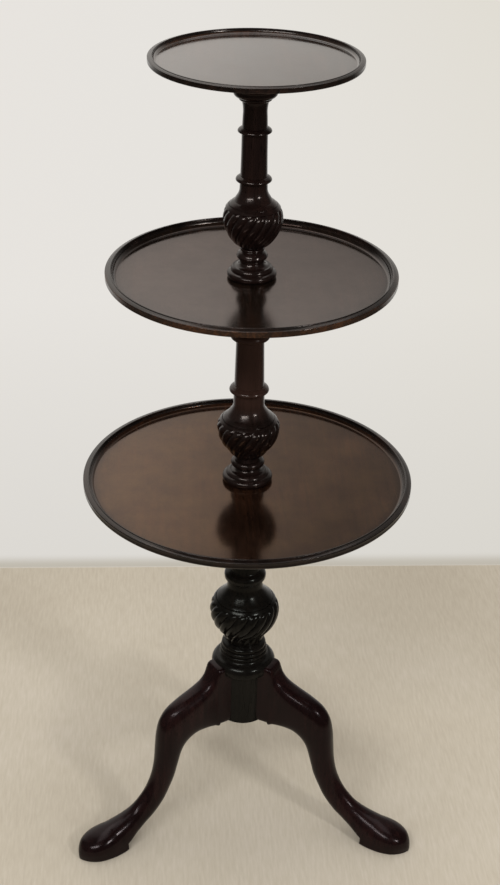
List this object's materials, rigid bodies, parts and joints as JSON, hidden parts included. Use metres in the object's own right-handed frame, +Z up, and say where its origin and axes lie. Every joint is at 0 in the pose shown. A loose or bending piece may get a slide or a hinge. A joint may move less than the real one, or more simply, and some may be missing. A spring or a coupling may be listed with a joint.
{
  "type": "dumbwaiter table",
  "caption": "Tall tripod serving table with dished round trays that revolve on a turned pillar with spirally lobed urns, on cabriole legs with pad feet.",
  "frame": {"origin": "centre of the bounding box on the floor; the pillar's axis stands 27 mm from it towards -Y", "axes": "+Z up along the pillar, +Y towards the back leg, +X to the right seen from the front"},
  "size_m": [0.4792, 0.4932, 1.1215],
  "materials": {
    "turned_mahogany": "dark polished mahogany",
    "carved_mahogany": "dark polished mahogany",
    "tray_mahogany": "dark brown mahogany with a worn polish",
    "bearer_wood": "dull stained wood",
    "iron_plate": "dark wrought iron",
    "plate_screws": "dark iron",
    "bearer_screws": "aged brass"
  },
  "bodies": {
    "stand": {"base_pillar": "turned_mahogany", "middle_pillar": "turned_mahogany", "upper_pillar": "turned_mahogany", "left_leg": "carved_mahogany", "right_leg": "carved_mahogany", "back_leg": "carved_mahogany", "leg_plate": "iron_plate", "leg_plate_screw_1": "plate_screws", "leg_plate_screw_2": "plate_screws", "leg_plate_screw_3": "plate_screws", "leg_plate_screw_4": "plate_screws", "leg_plate_screw_5": "plate_screws", "leg_plate_screw_6": "plate_screws"},
    "lower_turning_tray": {"lower_tray": "tray_mahogany", "lower_tray_collar": "bearer_wood", "lower_tray_collar_screw_1": "bearer_screws", "lower_tray_collar_screw_2": "bearer_screws", "lower_tray_collar_screw_3": "bearer_screws", "lower_tray_collar_screw_4": "bearer_screws"},
    "middle_turning_tray": {"middle_tray": "tray_mahogany", "middle_tray_collar": "bearer_wood", "middle_tray_collar_screw_1": "bearer_screws", "middle_tray_collar_screw_2": "bearer_screws", "middle_tray_collar_screw_3": "bearer_screws", "middle_tray_collar_screw_4": "bearer_screws"},
    "top_turning_tray": {"top_tray": "tray_mahogany", "top_tray_block": "bearer_wood", "top_tray_block_screw_1": "bearer_screws", "top_tray_block_screw_2": "bearer_screws", "top_tray_block_screw_3": "bearer_screws", "top_tray_block_screw_4": "bearer_screws"}
  },
  "joints": [
    {"name": "lower_tray_spin", "type": "hinge", "parent": "stand", "child": "lower_turning_tray", "pos_m": [0, -0.027, 0.5475], "axis": [0, 0, 1], "continuous": true},
    {"name": "middle_tray_spin", "type": "hinge", "parent": "stand", "child": "middle_turning_tray", "pos_m": [0, -0.027, 0.842], "axis": [0, 0, 1], "continuous": true},
    {"name": "top_tray_spin", "type": "hinge", "parent": "stand", "child": "top_turning_tray", "pos_m": [0, -0.027, 1.1155], "axis": [0, 0, 1], "continuous": true}
  ]
}
